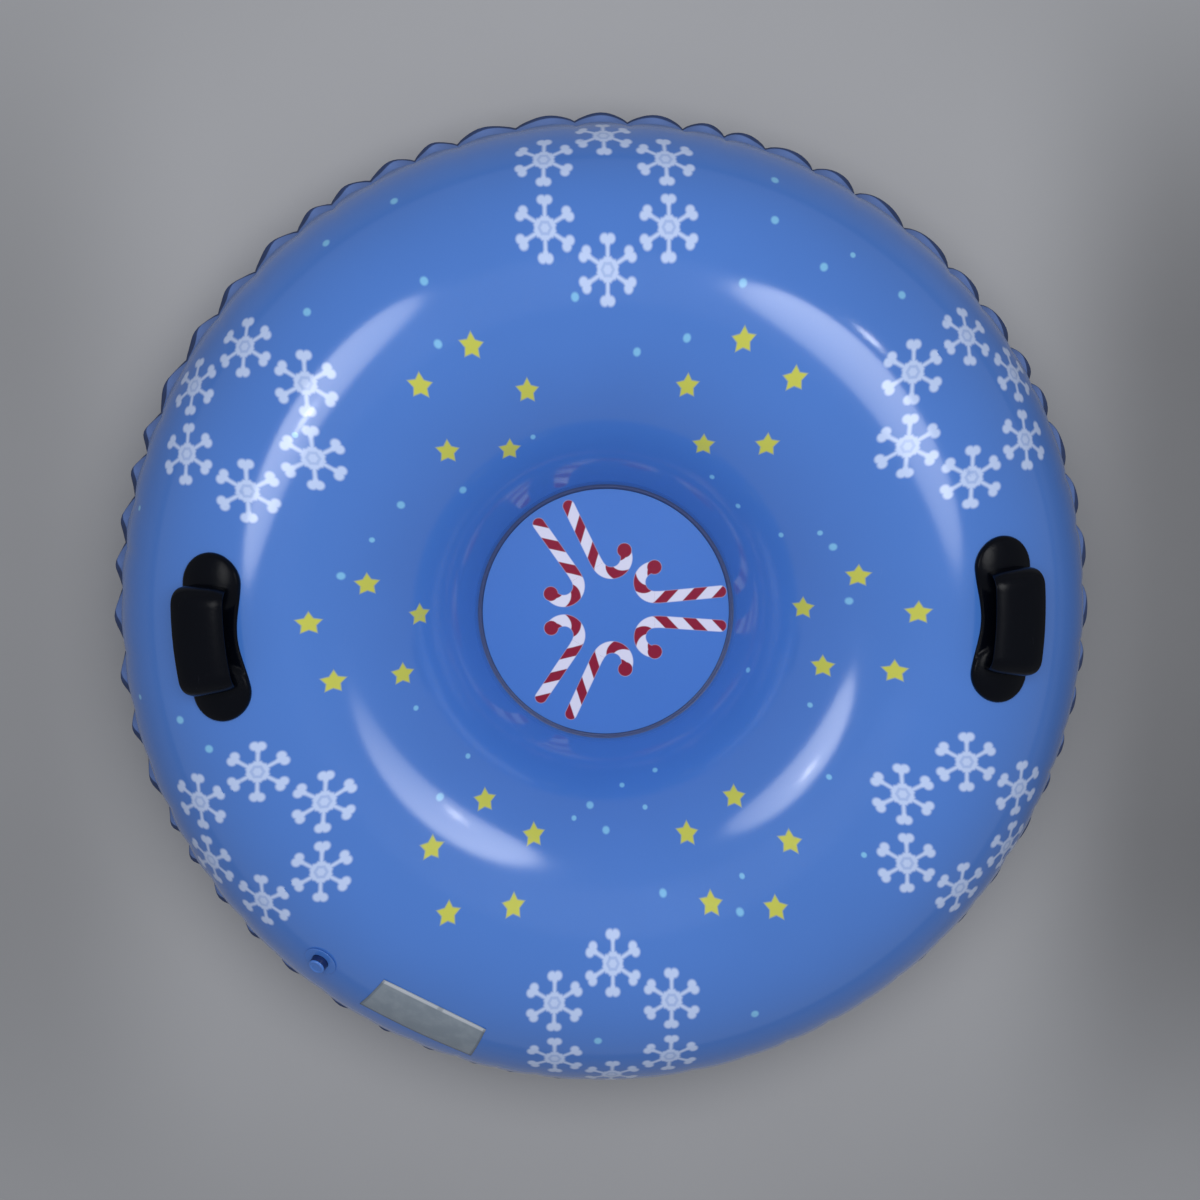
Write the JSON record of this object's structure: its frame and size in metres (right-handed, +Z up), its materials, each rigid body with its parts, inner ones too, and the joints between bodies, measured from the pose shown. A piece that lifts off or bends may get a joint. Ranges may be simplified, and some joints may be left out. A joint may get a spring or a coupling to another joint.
{
  "type": "snow tube",
  "caption": "Inflatable ring-shaped snow tube of welded printed sheet, with a taut floor disc, moulded carry handles, and a push-in inflation valve with its plug and non-return flap.",
  "frame": {"origin": "on the ground, under the middle of the tube", "axes": "+Z up; the handles lie towards +X and -X; +Y is the top of the picture, and the valve and label lie towards -Y and -X"},
  "size_m": [0.9708, 0.9708, 0.3172],
  "materials": {
    "printed_sheet": "semi-gloss soft vinyl sheet in mid blue, printed with pale snowflakes, yellow stars, small pale dots and striped canes",
    "plain_sheet": "semi-gloss soft vinyl sheet in plain blue",
    "handle_black": "near-black soft moulded vinyl with a low sheen",
    "valve_navy": "navy soft moulded vinyl",
    "label_grey": "bare silver-grey film with a paler strip along its upper edge"
  },
  "bodies": {
    "tube": {"top_skin": "printed_sheet", "bottom_skin": "plain_sheet", "floor_disc": "printed_sheet", "handle_pad_left": "handle_black", "handle_pad_right": "handle_black", "handle_grip_left": "handle_black", "handle_grip_right": "handle_black", "valve_flange": "printed_sheet", "label_patch": "label_grey"},
    "stem": {"valve_stem": "valve_navy"},
    "plug": {"valve_plug": "printed_sheet"},
    "flap": {"valve_flap": "valve_navy"}
  },
  "joints": [
    {"name": "stem_push", "type": "slide", "parent": "tube", "child": "stem", "axis": [-0.4116, -0.4768, 0.7767], "range_m": [-0.0084, 0]},
    {"name": "plug_pull", "type": "slide", "parent": "stem", "child": "plug", "axis": [-0.4116, -0.4768, 0.7767], "range_m": [0, 0.0095]},
    {"name": "flap_hinge", "type": "hinge", "parent": "stem", "child": "flap", "pos_m": [-0.27261, -0.31582, 0.23356], "axis": [-0.757, 0.6534, 0], "range_deg": [0, 60], "stiffness_Nm_per_rad": 0.0001, "springref_deg": -20.05}
  ]
}
